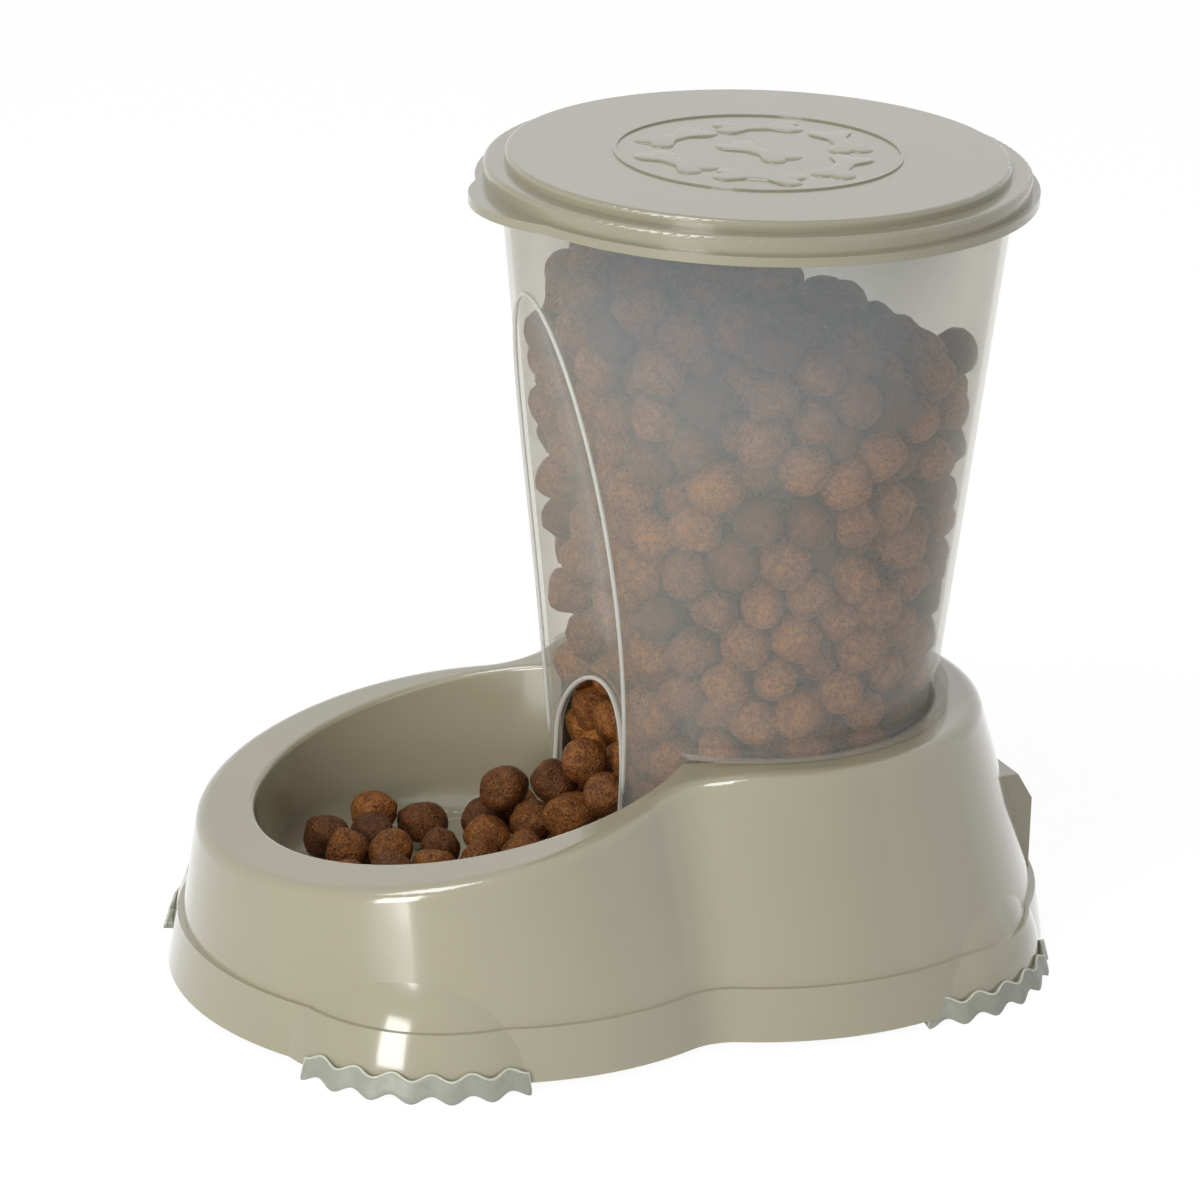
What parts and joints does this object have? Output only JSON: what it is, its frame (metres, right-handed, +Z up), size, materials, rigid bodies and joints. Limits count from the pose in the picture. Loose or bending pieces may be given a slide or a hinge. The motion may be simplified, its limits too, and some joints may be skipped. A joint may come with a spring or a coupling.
{
  "type": "gravity pet feeder",
  "caption": "Gravity pet feeder: a moulded base with a round bowl in front, a clear tapered hopper of dry food with an arched outlet behind it, and a lid that pulls off.",
  "frame": {"origin": "centre of the feeder's overall box, on the surface that its grips stand on", "axes": "+Z up, -Y towards the bowl and +Y towards the hopper, +X to the right seen from the bowl's side looking along +Y"},
  "size_m": [0.192, 0.2784, 0.2509],
  "materials": {
    "base_plastic": "glossy off-white moulding",
    "lid_plastic": "satin off-white moulding",
    "clear_plastic": "clear moulded plastic",
    "grip_rubber": "soft grey rubber",
    "kibble": "rough dry food"
  },
  "bodies": {
    "base": {"base_shell": "base_plastic", "front_left_grip": "grip_rubber", "front_right_grip": "grip_rubber", "rear_left_grip": "grip_rubber", "rear_right_grip": "grip_rubber", "kibble_in_bowl": "kibble"},
    "hopper": {"hopper": "clear_plastic", "kibble_in_hopper": "kibble"},
    "lid": {"lid": "lid_plastic"}
  },
  "joints": [
    {"name": "hopper_lift", "type": "slide", "parent": "base", "child": "hopper", "axis": [0, 0, 1], "range_m": [0, 0.12]},
    {"name": "lid_lift", "type": "slide", "parent": "hopper", "child": "lid", "axis": [0, 0, 1], "range_m": [0, 0.05]}
  ]
}
